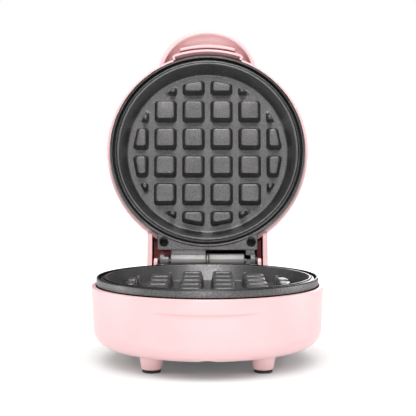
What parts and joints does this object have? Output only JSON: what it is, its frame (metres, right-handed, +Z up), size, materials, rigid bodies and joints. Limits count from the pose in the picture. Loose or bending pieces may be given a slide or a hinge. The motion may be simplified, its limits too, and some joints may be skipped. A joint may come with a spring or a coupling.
{
  "type": "waffle maker",
  "caption": "Small round waffle maker with two cast gridded plates, a tilting lid with a half-oval grip, a rear hinge and four feet.",
  "frame": {"origin": "on the floor, under the middle of the open appliance's bounding box", "axes": "+Z up, +Y from the front to the hinge, +X to the right seen from the front"},
  "size_m": [0.1286, 0.1911, 0.1943],
  "materials": {
    "shell_plastic": "satin-gloss moulded plastic, pale pink",
    "nonstick_casting": "cast aluminium with a sprayed dark grey non-stick coating",
    "element_sheath": "dark heated steel sheath",
    "sheet_steel": "bare sheet steel",
    "zinc_screw": "zinc plated",
    "reflector_sheet": "bright aluminium sheet",
    "black_screw": "black oxide",
    "pin_steel": "dark steel",
    "brass_washer": "dull brass",
    "foot_rubber": "black rubber",
    "nylon": "natural nylon",
    "lead_insulation": "heatproof sleeve",
    "indicator_lens": "clear amber-red lens",
    "lamp_glass": "small glass lamp"
  },
  "bodies": {
    "base": {"base_housing": "shell_plastic", "lower_plate": "nonstick_casting", "lower_element": "element_sheath", "lower_element_clamp": "sheet_steel", "lower_clamp_screw": "zinc_screw", "lower_reflector": "reflector_sheet", "lower_hinge_screw_left": "black_screw", "lower_hinge_screw_right": "black_screw", "base_front_screw": "zinc_screw", "hinge_pin": "pin_steel", "hinge_clip": "zinc_screw", "hinge_washer": "brass_washer", "foot_pad_front_left": "foot_rubber", "foot_pad_front_right": "foot_rubber", "foot_pad_rear_left": "foot_rubber", "foot_pad_rear_right": "foot_rubber", "cord_gland": "foot_rubber", "cord_clamp": "nylon", "cord_clamp_screw_left": "zinc_screw", "cord_clamp_screw_right": "zinc_screw", "terminal_block": "nylon", "thermostat": "nylon", "thermal_fuse": "zinc_screw", "fuse_clip": "sheet_steel", "live_lead": "lead_insulation", "neutral_lead": "lead_insulation"},
    "lid": {"lid_housing": "shell_plastic", "upper_plate": "nonstick_casting", "upper_element": "element_sheath", "upper_element_clamp": "sheet_steel", "upper_clamp_screw": "zinc_screw", "upper_reflector": "reflector_sheet", "upper_hinge_screw_left": "black_screw", "upper_hinge_screw_right": "black_screw", "lid_lead": "lead_insulation", "indicator_lens": "indicator_lens", "indicator_lamp": "lamp_glass", "lamp_holder": "nylon"}
  },
  "joints": [
    {"name": "lid_hinge", "type": "hinge", "parent": "base", "child": "lid", "pos_m": [0, 0.0394, 0.04715], "axis": [1, 0, 0], "range_deg": [0, 102]}
  ]
}
